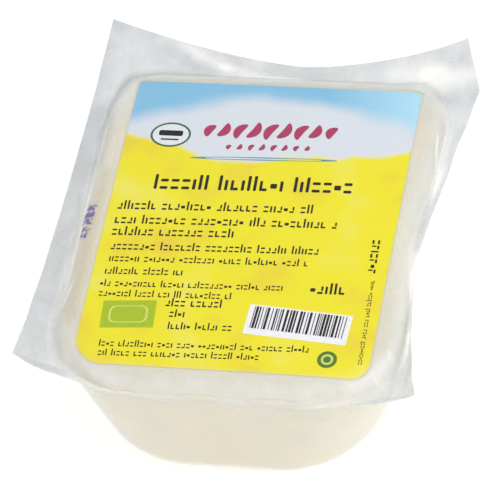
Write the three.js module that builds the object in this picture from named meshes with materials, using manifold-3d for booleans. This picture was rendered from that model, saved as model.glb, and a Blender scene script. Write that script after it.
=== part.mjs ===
// A block of fresh tofu, vacuum sealed in clear film, with a printed paper label under the film.
// Millimetres, +Z up. The pack stands on its flat base, with the origin under the middle of its box.
// Right is +X, far is +Y. The label reads from the near side.
import * as THREE from 'three';
import { mergeVertices } from 'three/addons/utils/BufferGeometryUtils.js';
import Module from 'manifold-3d';

// ---- Driving dimensions ----

// The tofu block in its pocket. The shoulder is its widest level, where the film leaves the block.
const BLOCK_HEIGHT = 44.4;
const SHOULDER_HEIGHT = 39.4;
const SHOULDER_HALF_WIDTH = 43.4;
const SHOULDER_HALF_LENGTH = 48;
const SHOULDER_FAR_CORNER = 13;
const SHOULDER_NEAR_CORNER = 19;
const TOP_EDGE_ROUNDING = 4.5;
const TOP_DOME = 0.7;
// Below the shoulder the pocket narrows towards its base, which sits a little left of and nearer than the top.
const BASE_DRAW_IN_X = 7.6;
const BASE_DRAW_IN_Y = 5;
const BASE_SHIFT_X = -2.8;
const BASE_SHIFT_Y = -2.8;
const BASE_CORNER = 26;
const BASE_EDGE_RUN = 8;
const BASE_EDGE_RISE = 8;
// The right wall is drawn in at its middle, where the film holds the block tightest.
const WAIST_DEPTH = 3.2;
const WAIST_PLACE_Y = 1;
const WAIST_SPREAD = 17;

// The sealed film rim. Each post is a corner of the sheet's cut edge, and its ears curl up over the block.
const RIM_THICKNESS = 0.8;
const RIM_ROOT = 1.6;
const RIM_BEND_PLACE = 0.55;
const RIM_POSTS = [
  { name: 'farRightFold', turn: 11 / 96, at: [50.3, 46.6, 42] },
  { name: 'farRightTip', turn: 15 / 96, at: [46.4, 58.8, 48] },
  { name: 'farLeftTip', turn: 36 / 96, at: [-46.4, 60.9, 47] },
  { name: 'nearLeftTip', turn: 60 / 96, at: [-49.2, -45.9, 50] },
  { name: 'nearRightTip', turn: 84 / 96, at: [49.8, -50.4, 50] },
];
// Between two posts the edge swings out by bow (in where it is negative) and hangs by sag.
// Lean moves the deepest place along the edge, and flat widens it.
const RIM_EDGES = [
  { name: 'fold', bow: 0, sag: 0, lean: 1, flat: 2 },
  { name: 'far', bow: -6.4, sag: 7.4, lean: 0.88, flat: 1.6 },
  { name: 'left', bow: 2.2, sag: 9.7, lean: 1.1, flat: 2.3 },
  { name: 'near', bow: -0.8, sag: 14.4, lean: 1.05, flat: 2 },
  { name: 'right', bow: -8.4, sag: 7.4, lean: 0.9, flat: 1.2 },
];

// The paper label, thickened to a solid that can be built, in a shallow recess of the block's top.
const LABEL_WIDTH = 73;
const LABEL_LENGTH = 86.9;
const LABEL_MIDDLE_Y = 0.3;
const LABEL_FAR_CORNER = 1;
const LABEL_NEAR_CORNER = 11;
const LABEL_THICKNESS = 0.5;
const LABEL_UNDER_FILM = 0.3;
const LABEL_CLEARANCE = 0.3;

// How finely the curved faces are divided.
const TURN_STEPS = 96;
const STRAIGHT_SHARE = 0.3;
const EDGE_STEPS = 5;
const WALL_STEPS = 3;
const RIM_STEPS = 6;
const CENTRE_STEPS = 4;
const CORNER_STEPS = 5;
const SLOPE_STEP = 1e-3;
const MERGE_DISTANCE = 1e-3;

const FILM_COLOUR = 0xd6cfb8;
const LABEL_COLOUR = 0xe2bd1c;

// ---- Outlines ----

const turns = Array.from({ length: TURN_STEPS }, (_, i) => i / TURN_STEPS);

/** A point on a rounded rectangle. Turn 0 is the middle of the right side, and turn 0.25 of the far side. */
function roundedRectangle(turn, halfX, halfY, farCorner, nearCorner) {
  const quarter = Math.floor(turn * 4);
  const corner = quarter >= 2 ? nearCorner : farCorner;
  const along = turn * 4 - quarter;
  const g = quarter % 2 === 0 ? along : 1 - along;
  let x = halfX;
  let y = (halfY - corner) * (g / STRAIGHT_SHARE);
  if (g > 1 - STRAIGHT_SHARE) {
    x = (halfX - corner) * ((1 - g) / STRAIGHT_SHARE);
    y = halfY;
  } else if (g > STRAIGHT_SHARE) {
    const angle = ((g - STRAIGHT_SHARE) / (1 - 2 * STRAIGHT_SHARE)) * (Math.PI / 2);
    x = halfX - corner + corner * Math.cos(angle);
    y = halfY - corner + corner * Math.sin(angle);
  }
  const signX = quarter === 1 || quarter === 2 ? -1 : 1;
  const signY = quarter >= 2 ? -1 : 1;
  return new THREE.Vector2(x * signX, y * signY);
}

/** How far the right wall is drawn in at a place along it. */
function waist(x, y) {
  const share = THREE.MathUtils.smoothstep(x, 0, SHOULDER_HALF_WIDTH);
  return WAIST_DEPTH * share * Math.exp(-(((y - WAIST_PLACE_Y) / WAIST_SPREAD) ** 2));
}

/** A point of the block's outline: inset from its wall, at a share of the way down from shoulder to base. */
function blockOutline(turn, inset, down) {
  const point = roundedRectangle(
    turn,
    SHOULDER_HALF_WIDTH - BASE_DRAW_IN_X * down - inset,
    SHOULDER_HALF_LENGTH - BASE_DRAW_IN_Y * down - inset,
    THREE.MathUtils.lerp(SHOULDER_FAR_CORNER, BASE_CORNER, down) - inset,
    THREE.MathUtils.lerp(SHOULDER_NEAR_CORNER, BASE_CORNER, down) - inset,
  );
  point.x += BASE_SHIFT_X * down - waist(point.x, point.y);
  point.y += BASE_SHIFT_Y * down;
  return point;
}

// ---- Heights ----

/** Distance from a place on the top outwards to the shoulder's outline. */
function distanceToShoulder(x, y) {
  const corner = y < 0 ? SHOULDER_NEAR_CORNER : SHOULDER_FAR_CORNER;
  const outX = Math.abs(x + waist(x, y)) - (SHOULDER_HALF_WIDTH - corner);
  const outY = Math.abs(y) - (SHOULDER_HALF_LENGTH - corner);
  const outside = Math.hypot(Math.max(outX, 0), Math.max(outY, 0));
  return corner - outside - Math.min(Math.max(outX, outY), 0);
}

/** Height of the block's top: a slight dome that rolls off to the shoulder at its edge. */
function topHeight(x, y) {
  const inside = THREE.MathUtils.clamp(distanceToShoulder(x, y) / TOP_EDGE_ROUNDING, 0, 1);
  const roll = Math.sqrt(1 - (1 - inside) ** 2);
  const fall = ((x / SHOULDER_HALF_WIDTH) ** 2 + (y / SHOULDER_HALF_LENGTH) ** 2) / 2;
  return SHOULDER_HEIGHT + (BLOCK_HEIGHT - SHOULDER_HEIGHT - TOP_DOME * fall) * roll;
}

// ---- Skins ----

/**
 * A closed skin over rings of equal length. Each ring is joined to the next one,
 * and the ends are either joined to each other or closed by a fan to their middle.
 */
function skin(rings, endsMeet) {
  const size = rings[0].length;
  const points = rings.flat();
  const faces = [];
  const joins = endsMeet ? rings.length : rings.length - 1;
  for (let r = 0; r < joins; r++) {
    const here = r * size;
    const next = ((r + 1) % rings.length) * size;
    for (let i = 0; i < size; i++) {
      const j = (i + 1) % size;
      faces.push(here + i, here + j, next + j, here + i, next + j, next + i);
    }
  }
  if (!endsMeet) {
    const last = (rings.length - 1) * size;
    const first = points.push(middle(rings[0])) - 1;
    const end = points.push(middle(rings.at(-1))) - 1;
    for (let i = 0; i < size; i++) {
      const j = (i + 1) % size;
      faces.push(first, j, i, end, last + i, last + j);
    }
  }
  const geometry = new THREE.BufferGeometry().setFromPoints(points);
  geometry.setIndex(faces);
  return geometry;
}

function middle(ring) {
  const sum = ring.reduce((total, point) => total.add(point), new THREE.Vector3());
  return sum.divideScalar(ring.length);
}

// ---- The block ----

function blockSkin() {
  const ringAt = (inset, down, height) => turns.map((turn) => {
    const point = blockOutline(turn, inset, down);
    return new THREE.Vector3(point.x, point.y, height ?? topHeight(point.x, point.y));
  });
  const rings = [];
  for (let i = 0; i <= EDGE_STEPS; i++) {
    const angle = (i / EDGE_STEPS) * (Math.PI / 2);
    const height = BASE_EDGE_RISE * (1 - Math.cos(angle));
    rings.push(ringAt(BASE_EDGE_RUN * (1 - Math.sin(angle)), 1 - height / SHOULDER_HEIGHT, height));
  }
  for (let i = 1; i <= WALL_STEPS; i++) {
    const height = THREE.MathUtils.lerp(BASE_EDGE_RISE, SHOULDER_HEIGHT, i / WALL_STEPS);
    rings.push(ringAt(0, 1 - height / SHOULDER_HEIGHT, height));
  }
  for (let i = 1; i <= EDGE_STEPS; i++) {
    const angle = (i / EDGE_STEPS) * (Math.PI / 2);
    rings.push(ringAt(TOP_EDGE_ROUNDING * (1 - Math.cos(angle)), 0));
  }
  const flatRing = rings.at(-1);
  for (let i = 1; i < CENTRE_STEPS; i++) {
    const share = 1 - i / CENTRE_STEPS;
    rings.push(flatRing.map((point) => {
      const x = point.x * share;
      const y = point.y * share;
      return new THREE.Vector3(x, y, topHeight(x, y));
    }));
  }
  return skin(rings, false);
}

// ---- The film rim ----

/** The edge between two posts that a turn lies on, and the share of the way along it. */
function edgeAt(turn) {
  const last = RIM_POSTS.length - 1;
  let index = RIM_POSTS.findIndex((post, i) => i < last && turn >= post.turn && turn < RIM_POSTS[i + 1].turn);
  if (index < 0) index = last;
  const from = RIM_POSTS[index];
  const to = RIM_POSTS[(index + 1) % RIM_POSTS.length];
  const span = (to.turn - from.turn + 1) % 1;
  const share = ((turn - from.turn + 1) % 1) / span;
  return { from, to, share, edge: RIM_EDGES[index] };
}

/** A point of the sheet's cut edge. */
function rimEdge(turn) {
  const { from, to, share, edge } = edgeAt(turn);
  const start = new THREE.Vector3(...from.at);
  const end = new THREE.Vector3(...to.at);
  const outward = new THREE.Vector3(end.y - start.y, start.x - end.x, 0).normalize();
  const depth = 1 - Math.abs(2 * share ** edge.lean - 1) ** edge.flat;
  const point = start.clone().lerp(end, share).addScaledVector(outward, edge.bow * depth);
  point.z -= edge.sag * depth;
  return point;
}

/** A point of the rim's middle surface, from its root in the block (across 0) to its cut edge (across 1). */
function rimPoint(turn, across) {
  const wrapped = ((turn % 1) + 1) % 1;
  const foot = blockOutline(wrapped, RIM_ROOT, 0);
  const root = new THREE.Vector3(foot.x, foot.y, SHOULDER_HEIGHT);
  const edge = rimEdge(wrapped);
  const bend = root.clone().lerp(edge, RIM_BEND_PLACE).setZ(SHOULDER_HEIGHT);
  return new THREE.QuadraticBezierCurve3(root, bend, edge).getPoint(across);
}

function rimNormal(turn, across) {
  const alongTurn = rimPoint(turn + SLOPE_STEP, across).sub(rimPoint(turn - SLOPE_STEP, across));
  const from = Math.max(across - SLOPE_STEP, 0);
  const to = Math.min(across + SLOPE_STEP, 1);
  const outwards = rimPoint(turn, to).sub(rimPoint(turn, from));
  return outwards.cross(alongTurn).normalize();
}

function rimSkin() {
  const sections = turns.map((turn) => {
    const upper = [];
    const lower = [];
    for (let i = 0; i <= RIM_STEPS; i++) {
      const across = i / RIM_STEPS;
      const point = rimPoint(turn, across);
      const lift = rimNormal(turn, across).multiplyScalar(RIM_THICKNESS / 2);
      upper.push(point.clone().add(lift));
      lower.unshift(point.clone().sub(lift));
    }
    return [...upper, ...lower];
  });
  return skin(sections, true);
}

// ---- The label ----

/** The label's outline, grown by a clearance: nearly square far corners, well rounded near ones. */
function labelOutline(grow) {
  const halfX = LABEL_WIDTH / 2 + grow;
  const halfY = LABEL_LENGTH / 2 + grow;
  const corners = [
    { x: halfX, y: halfY, radius: LABEL_FAR_CORNER },
    { x: -halfX, y: halfY, radius: LABEL_FAR_CORNER },
    { x: -halfX, y: -halfY, radius: LABEL_NEAR_CORNER },
    { x: halfX, y: -halfY, radius: LABEL_NEAR_CORNER },
  ];
  const outline = [];
  corners.forEach(({ x, y, radius }, index) => {
    const centreX = x - Math.sign(x) * radius;
    const centreY = y - Math.sign(y) * radius;
    for (let i = 0; i <= CORNER_STEPS; i++) {
      const angle = (index + i / CORNER_STEPS) * (Math.PI / 2);
      outline.push(new THREE.Vector2(centreX + radius * Math.cos(angle), centreY + radius * Math.sin(angle)));
    }
    const next = corners[(index + 1) % corners.length];
    const from = outline.at(-1);
    const along = new THREE.Vector2(next.x - x, next.y - y).normalize();
    const length = new THREE.Vector2(next.x - x, next.y - y).length() - radius - next.radius;
    for (let i = 1; i < EDGE_STEPS; i++) {
      outline.push(from.clone().addScaledVector(along, (length * i) / EDGE_STEPS));
    }
  });
  return outline;
}

/** A sheet that follows the block's top, between two depths under it. */
function labelSkin(grow, upperDepth, lowerDepth) {
  const outline = labelOutline(grow);
  const ringAt = (share, depth) => outline.map((point) => {
    const x = point.x * share;
    const y = point.y * share + LABEL_MIDDLE_Y;
    return new THREE.Vector3(x, y, topHeight(x, y) - depth);
  });
  const shares = Array.from({ length: CENTRE_STEPS }, (_, i) => (i + 1) / CENTRE_STEPS);
  const rings = [
    ...shares.map((share) => ringAt(share, lowerDepth)),
    ...shares.toReversed().map((share) => ringAt(share, upperDepth)),
  ];
  return skin(rings, false);
}

// ---- Solids ----

const wasm = await Module();
wasm.setup();

function toSolid(geometry) {
  const merged = mergeVertices(geometry, MERGE_DISTANCE);
  return new wasm.Manifold(new wasm.Mesh({
    numProp: 3,
    vertProperties: merged.attributes.position.array,
    triVerts: new Uint32Array(merged.index.array),
  }));
}

function toGeometry(solid) {
  const mesh = solid.getMesh();
  const geometry = new THREE.BufferGeometry();
  geometry.setAttribute('position', new THREE.BufferAttribute(mesh.vertProperties, 3));
  geometry.setIndex(new THREE.BufferAttribute(mesh.triVerts, 1));
  geometry.computeVertexNormals();
  return geometry;
}

function sealedPack() {
  const recess = labelSkin(LABEL_CLEARANCE, -1, LABEL_UNDER_FILM + LABEL_THICKNESS + LABEL_CLEARANCE);
  const solid = toSolid(blockSkin()).add(toSolid(rimSkin())).subtract(toSolid(recess));
  const material = new THREE.MeshStandardMaterial({ color: FILM_COLOUR, roughness: 0.25, metalness: 0 });
  const mesh = new THREE.Mesh(toGeometry(solid), material);
  mesh.name = 'sealed_pack';
  return mesh;
}

function label() {
  const sheet = labelSkin(0, LABEL_UNDER_FILM, LABEL_UNDER_FILM + LABEL_THICKNESS);
  const material = new THREE.MeshStandardMaterial({ color: LABEL_COLOUR, roughness: 0.55, metalness: 0 });
  const mesh = new THREE.Mesh(toGeometry(toSolid(sheet)), material);
  mesh.name = 'label';
  return mesh;
}

// ---- The pack ----

const pack = new THREE.Group();
pack.add(sealedPack(), label());

// The origin goes under the middle of the pack's box, on the surface that it stands on.
const box = new THREE.Box3().setFromObject(pack);
pack.position.set(-(box.min.x + box.max.x) / 2, -(box.min.y + box.max.y) / 2, -box.min.z);

export default pack;
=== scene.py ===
"""A block of fresh tofu, vacuum sealed in clear film, with a printed paper label under the film.

The pack lies on its flat base with the label up: right is +X, far is +Y, and the label reads from the
near side. The shape code works in millimetres from the middle of the label, on the floor, and
add_piece() turns its points to metres in the frame.
"""
import itertools
import math

import bpy
import numpy as np
from bpy.props import FloatProperty, FloatVectorProperty, PointerProperty
from mathutils import Matrix, Vector


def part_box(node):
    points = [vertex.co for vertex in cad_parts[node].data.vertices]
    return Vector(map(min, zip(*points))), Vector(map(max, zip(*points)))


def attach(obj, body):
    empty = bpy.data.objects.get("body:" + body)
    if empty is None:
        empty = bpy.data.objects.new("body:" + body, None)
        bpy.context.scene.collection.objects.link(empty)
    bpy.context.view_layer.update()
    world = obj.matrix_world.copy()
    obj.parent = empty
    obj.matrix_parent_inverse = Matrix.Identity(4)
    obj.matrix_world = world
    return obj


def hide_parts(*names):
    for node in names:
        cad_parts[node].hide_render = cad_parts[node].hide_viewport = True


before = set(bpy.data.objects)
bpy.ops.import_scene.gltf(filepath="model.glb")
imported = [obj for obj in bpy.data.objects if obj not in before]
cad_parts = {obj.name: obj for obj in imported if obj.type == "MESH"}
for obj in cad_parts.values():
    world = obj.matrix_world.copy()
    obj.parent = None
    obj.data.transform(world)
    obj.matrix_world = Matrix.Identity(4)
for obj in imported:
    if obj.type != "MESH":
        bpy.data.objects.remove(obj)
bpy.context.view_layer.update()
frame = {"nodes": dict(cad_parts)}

bl_info = {
    "name": "Sealed Tofu Block",
    "version": (1, 0, 0),
    "blender": (4, 5, 0),
    "location": "3D View > Sidebar > Tofu Pack",
    "description": "Builds a block of fresh tofu, sealed in clear film with a paper label",
    "category": "Add Mesh",
}

LABEL_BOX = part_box("label")
BODY = "root"
MM = 0.001

# ---- The pack's form, in millimetres ----

# The block in its pocket. The shoulder is its widest level, where the film leaves the block.
BLOCK_HEIGHT = 44.4
SHOULDER_HEIGHT = 39.4
SHOULDER_HALF_WIDTH = 43.4
SHOULDER_HALF_LENGTH = 48.0
SHOULDER_FAR_CORNER = 13.0
SHOULDER_NEAR_CORNER = 19.0
TOP_EDGE_ROUNDING = 4.5
TOP_DOME = 0.7
BASE_DRAW_IN_X = 7.6
BASE_DRAW_IN_Y = 5.0
BASE_SHIFT_X = -2.8
BASE_SHIFT_Y = -2.8
BASE_CORNER = 26.0
BASE_EDGE_RUN = 8.0
BASE_EDGE_RISE = 8.0
WAIST_DEPTH = 3.2
WAIST_PLACE_Y = 1.0
WAIST_SPREAD = 17.0
STRAIGHT_SHARE = 0.3

# The sealed film rim. Each post is a corner of the sheet's cut edge: its turn and its place.
RIM_BEND_PLACE = 0.55
RIM_POSTS = (
    (11 / 96, (50.3, 46.6, 42.0)),
    (15 / 96, (46.4, 58.8, 48.0)),
    (36 / 96, (-46.4, 60.9, 47.0)),
    (60 / 96, (-49.2, -45.9, 50.0)),
    (84 / 96, (49.8, -50.4, 50.0)),
)
# The cut edge from each post to the next one: its bow, sag, lean and flatness.
RIM_EDGES = (
    (0.0, 0.0, 1.0, 2.0),
    (-6.4, 7.4, 0.88, 1.6),
    (2.2, 9.7, 1.1, 2.3),
    (-0.8, 14.4, 1.05, 2.0),
    (-8.4, 7.4, 0.9, 1.2),
)
# Where the rim lies down along the near wall, it keeps this far off the wall.
RIM_OFF_WALL = 0.3
RIM_OFF_WALL_SOFTNESS = 0.4

# The two webs are sealed to each other from the cut edge in to this share of the rim's width. From
# there the lower one runs to the block's shoulder and down its wall, and the upper one bridges over
# to the block's top.
WELD_PLACE = 0.32
WEB_GAP = 0.03
# The bridge leaves the weld along the rim's slope, by a reach that is at most a share of the room there,
# and meets the block's top along its slope. Over the first of these spans it rises to its full lift, and
# over the second, from its end back, it settles. It keeps clear of the block, whose wall counts as this
# steep, and the third span, from its end back, brings that in.
BRIDGE_LIFT = 0.38
BRIDGE_REACH_AT_WELD = 3.2
BRIDGE_SHARE_OF_ROOM = 0.9
BRIDGE_REACH_AT_TOP = 3.8
BRIDGE_RISING = (0.0, 0.25)
BRIDGE_SETTLING = (1.0, 0.5)
BRIDGE_CLEARING = (1.0, 0.8)
BRIDGE_SOFTNESS = 0.15
BRIDGE_WALL_SLOPE = 8.0

# The paper label under the film, and the depths of paper and ink below the film's outer face.
LABEL_WIDTH = 73.0
LABEL_LENGTH = 86.9
LABEL_MIDDLE_Y = 0.3
LABEL_CORNERS = (1.0, 1.0, 8.0, 5.0)
LABEL_DEPTH = 0.16

# The middle of the label's frame, in the row frame.
PLACE_X = (LABEL_BOX[0].x + LABEL_BOX[1].x) / 2 / MM
PLACE_Y = (LABEL_BOX[0].y + LABEL_BOX[1].y) / 2 / MM - LABEL_MIDDLE_Y

# How milky one face of the film is, from 0, clear, to 1: over the label, over the bare strip beside
# it, more towards the near and the far side, over the block's rounded edge, on the rim, and on the
# wall. On the near side: where the rim lies on the wall, where the lower web meets the wall, more at
# the rim's fold and at the wall's top, and on the rim's hem.
LABEL_MILK = 0.004
STRIP_MILK = 0.10
NEAR_STRIP_MILK = 0.12
FAR_STRIP_MILK = 0.30
EDGE_MILK = 0.42
RIM_MILK = 0.29
POCKET_MILK = 0.04
LAID_MILK = 0.17
ROOT_MILK = 0.14
FOLD_MILK = 0.15
NEAR_WALL_MILK = 0.19
HEM_MILK = 0.01
# Grey, from 0, white, to 1, which is partly the film's own cool tint and partly painted shade: the share that
# the film keeps where the webs part on the near side, the least grey of the strip's far part, and the share
# that comes in over the block's edge. Over the label the haze has only a share of its strength.
PARTED_GREY = 0.35
FAR_STRIP_GREY = 0.12
EDGE_GREY = 0.3
HAZE_ON_LABEL = 0.15
# A lid crease's painted glint, white milk on the film, covers this share of its width, and there the crease
# loses this many times as much of its grey.
CREASE_GLINT_WIDTH = 0.6
CREASE_GLINT_GREY_LOSS = 2

# A ramp goes from where it is 0 to where it is 1. Ramps over heights: where the curd's top begins, where
# the web may hang slack on the wall, where the near wall turns milky and the wall's haze starts, where
# the near wall's shine ends, where the rim folds over, and where its hem clears.
CURD_TOP_HEIGHTS = (38.4, 42.9)
SLACK_HEIGHTS = (0.5, 6.0)
NEAR_MILK_HEIGHTS = (31.0, 38.5)
WALL_HAZE_HEIGHTS = (27.0, 38.0)
DULL_HEIGHTS = (35.5, 37.5)
FOLD_HEIGHTS = (37.0, 39.5)
HEM_HEIGHTS = (41.0, 36.5)
# Ramps over the distance off the block: where the rim may ripple, where it counts as laid on the near
# wall, at its fold and at its hem, where the lower web shines, and where the upper one may ripple.
LOOSE_CLEARANCE = (0.6, 3.0)
LAID_CLEARANCE = (2.8, 1.4)
FOLD_CLEARANCE = (2.4, 1.2)
HEM_CLEARANCE = (2.6, 1.4)
SHINE_CLEARANCE = (1.0, 2.5)
LID_CLEARANCE = (0.05, 1.5)
# Ramps over shares of the way: across the rim, where it may ripple and where its webs part, and along
# the bridge, where the lid's own looks come in.
LOOSE_ACROSS = (WELD_PLACE, 0.6)
PARTED_ACROSS = (WELD_PLACE, 0.0)
LID_OWN_SHARES = (0.0, 0.7)
# Ramps over plan places: the near side, the strip's near and far parts, beyond the label's outline, and
# inside the shoulder, where the edge's milk, its grey and the full grey come in.
NEAR_SIDE_Y = (-38.0, -46.0)
NEAR_STRIP_Y = (-36.0, -46.0)
FAR_STRIP_Y = (30.0, 38.0)
BEYOND_LABEL = (-0.3, 1.2)
EDGE_MILK_INSIDE = (6.5, 0.5)
EDGE_GREY_INSIDE = (4.5, 0.0)
FULL_GREY_INSIDE = (0.5, -1.6)
# Painted light and shade on the free film, set by place to follow how the light falls: how white it is,
# lightest towards the right and the near side and greyest on the left, and how much further out its grey,
# partly painted shade, starts. Each is an amount that comes in over a ramp along x and one along y, either of
# which may be full everywhere.
EVERYWHERE = (-1001.0, -1000.0)
FREE_FILM_PAINTED_LIGHT = (
    (0.23, EVERYWHERE, EVERYWHERE),
    (0.14, (-48.0, -10.0), EVERYWHERE),
    (0.06, (5.0, 45.0), EVERYWHERE),
    (0.24, (5.0, 45.0), (12.0, -16.0)),
    (0.30, (50.0, 20.0), (-22.0, -46.0)),
    (0.08, (-20.0, -44.0), (36.0, 54.0)),
)
SHADE_GREY_FURTHER_OUT = (
    (1.7, (0.0, -40.0), (18.0, -8.0)),
    (-0.5, (0.0, -40.0), (10.0, 34.0)),
)

# Soft uneven waves: height to either side, wavelength and seed. Hollows of the curd and of the lower web,
# ripples of the rim and of the upper web, clouds in the wall's milk and in the rim's white, and how
# milk wanders up and down at the near wall and the hem, and back and forth at the strip's far part.
CURD_HOLLOWS = ((0.06, 9.0, 3), (0.03, 3.1, 4))
POCKET_HOLLOWS = ((0.04, 16.0, 11), (0.02, 5.0, 12))
RIM_RIPPLES = ((0.30, 17.0, 21), (0.08, 5.0, 22))
LID_RIPPLES = ((0.08, 7.0, 31),)
POCKET_CLOUDS = ((0.6, 22.0, 13),)
RIM_CLOUDS = ((0.10, 14.0, 23),)
NEAR_MILK_WANDER = ((1.5, 12.0, 14),)
HEM_WANDER = ((1.3, 14.0, 24),)
FAR_STRIP_WANDER = ((0.8, 9.0, 32),)
# How many plane waves make up a soft wave, and how their lengths spread round its own.
PLANE_WAVES = 14
PLANE_WAVE_LENGTHS = (0.7, 1.6)

# How finely the curved faces are divided.
TURNS = np.arange(480) / 480
EDGE_STEPS = 12
WALL_STEPS = 24
CENTRE_STEPS = 32
BRIDGE_STEPS = 24
FLANGE_STEPS = 14
RIM_STEPS = 36
LABEL_RINGS = 40
LABEL_STEP = 0.6
# The innermost rings of base and top, as shares of their flats.
BASE_FIRST_RING = 0.04
TOP_LAST_RING = 0.02
# Edges that bend more than this are drawn sharp.
SHARP_ANGLE = math.radians(50)
# Steps along the wall and across the rim over which their slopes are taken.
SLOPE_STEP = 1e-3
RIM_SLOPE_STEP = 0.02
# A vector shorter than this has no direction.
NO_LENGTH = 1e-12

# Creases of the film: plan start, plan end, half width, height, and how white the film is there, which is a
# painted glint along the crease.
LID_CREASES = (
    ((-40.3, -17.5), (-43.4, -32.5), 0.42, 0.20, 1.6),
    ((-43.2, 27.5), (-43.6, 31.5), 0.45, 0.12, 0.9),
    ((41.8, 34.0), (43.0, 19.0), 0.36, 0.16, 1.3),
    ((39.8, -33.6), (42.0, -37.6), 0.9, 0.15, 0.6),
)
# Stretches of film with more haze: plan start, plan end, half width, milkiness, and tint, from 1, grey, over
# 0, white, to -1, the cream of whey. Some are the film's own haze; white ones in the hollows by the shoulder
# and along the near and right strips also lighten where shade falls, as painted light.
LID_HAZE_AND_PAINTED_LIGHT = (
    ((22.0, -46.0), (38.0, -44.5), 2.5, 0.20, 0.0),
    ((33.0, -43.5), (39.0, -38.0), 2.5, 0.25, 0.0),
    ((5.0, -48.0), (12.0, -48.0), 2.5, 0.12, 0.0),
    ((-43.0, -30.0), (-39.0, -41.0), 2.6, 0.35, -0.1),
    ((-39.0, -41.0), (-25.0, -48.0), 2.6, 0.35, -0.1),
    ((-45.6, -6.0), (-46.4, -30.0), 2.4, 0.25, -0.8),
    ((-28.0, -46.5), (32.0, -46.5), 2.6, 0.15, -0.5),
    ((-39.7, 14.0), (-39.7, -30.0), 1.6, 0.22, -1.0),
    ((-40.0, 44.0), (-40.5, 12.0), 3.5, 0.16, 0.0),
    ((-36.0, 46.0), (-43.0, 34.0), 4.5, 0.35, 0.0),
    ((-32.0, 47.0), (41.0, 46.6), 2.2, 0.50, 0.2),
    ((42.5, -2.0), (42.5, -36.0), 2.6, 0.28, 0.1),
    ((43.0, -22.0), (42.0, -38.0), 2.4, 0.25, 0.0),
    ((42.0, 30.0), (41.0, 6.0), 2.2, 0.15, 0.2),
)
# Stretches of haze in the same form, on the wall.
WALL_HAZE = (
    ((-45.0, -36.0), (-33.0, -46.0), 4.0, 0.20, 0.0),
    ((6.0, -48.5), (36.0, -48.0), 4.0, 0.20, 0.0),
)
# Creases of the rim, in the form of the first ones. Their white is a painted highlight along each fold.
RIM_CREASES = (
    ((31.0, 49.4), (50.2, 47.4), 0.8, 0.7, 0.25),
    ((-30.5, 57.6), (-20.0, 53.0), 1.4, 0.5, 0.15),
    ((-21.0, 53.4), (-6.0, 48.8), 1.4, 0.5, 0.15),
    ((-43.0, -29.0), (-48.0, -43.0), 0.9, 0.3, 0.1),
    ((44.5, -38.0), (48.5, -47.0), 0.9, 0.3, 0.1),
)
# Painted light and shade on the rim: stretches that are whiter than the rest, painted highlights on folds and
# on faces that catch the light, or greyer where the last number is negative, painted shade on faces turned
# from it. Plan start, plan end, half width and whiteness.
RIM_PAINTED_LIGHT_AND_SHADE = (
    ((37.0, 51.5), (51.0, 50.5), 2.6, 0.9),
    ((27.0, 52.0), (40.0, 52.5), 1.8, 0.6),
    ((-32.0, 58.5), (-16.0, 51.6), 1.6, 0.6),
    ((-17.0, 52.0), (0.0, 47.9), 1.4, 0.6),
    ((-26.0, 52.5), (-14.0, 49.0), 1.8, -0.35),
    ((34.0, 45.5), (51.0, 44.0), 2.2, -0.45),
    ((-50.0, 12.0), (-49.5, -20.0), 6.0, 0.17),
)

# ---- The label's print, in millimetres from the middle of the label ----

PRINT_SEED = 41
PRINT_TILT = math.radians(1.7)
# Rows of letter-sized blocks, which stand for reading matter: left, right, height on the page at x 0
# and letter height.
TEXT_ROWS = (
    (-34.0, 15.6, 4.9, 1.9),
    (-34.0, 23.3, 0.5, 1.9),
    (-34.1, -1.7, -3.1, 1.9),
    (-33.6, 19.0, -7.6, 1.7),
    (-33.4, 17.2, -11.3, 1.5),
    (-33.8, -13.6, -15.1, 1.5),
    (-34.4, 12.0, -18.8, 1.4),
    (-34.2, -1.1, -21.8, 1.4),
    (18.0, 27.0, -18.9, 2.3),
    (-17.0, -0.8, -24.2, 1.7),
    (-15.6, -10.0, -27.4, 1.6),
    (-15.4, 0.4, -31.0, 1.5),
    (-31.6, 20.3, -36.5, 1.35),
    (-31.4, 9.0, -39.2, 1.35),
)
TITLE_ROW = (-25.9, 25.0, 12.0, 3.2)
SIDE_ROWS = (
    (-13.4, -0.2, 32.2, 1.9),
    (-40.0, -15.4, 32.9, 0.9),
)
# What can stand in a letter's place: its width, and its bars' width, height, place and rise, all in
# letter heights.
LETTER_BLOCKS = (
    (0.62, ((0.62, 0.27, 0.0, 0.36), (0.62, 0.27, 0.0, -0.36))),
    (0.62, ((0.62, 0.27, 0.0, 0.36), (0.62, 0.27, 0.0, -0.36))),
    (0.60, ((0.22, 0.98, -0.19, 0.0), (0.40, 0.27, 0.1, -0.36))),
    (0.52, ((0.52, 0.46, 0.0, 0.0),)),
    (0.24, ((0.24, 1.0, 0.0, 0.0),)),
    (0.24, ((0.24, 1.45, 0.0, 0.22),)),
    (0.60, ((0.60, 0.27, 0.0, -0.36), (0.22, 0.6, 0.19, 0.2))),
)
LETTER_GAP = 0.24
LETTER_CORNER = 0.08
WORD_GAP = 0.62
WORD_LETTERS = (3, 11)

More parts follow.
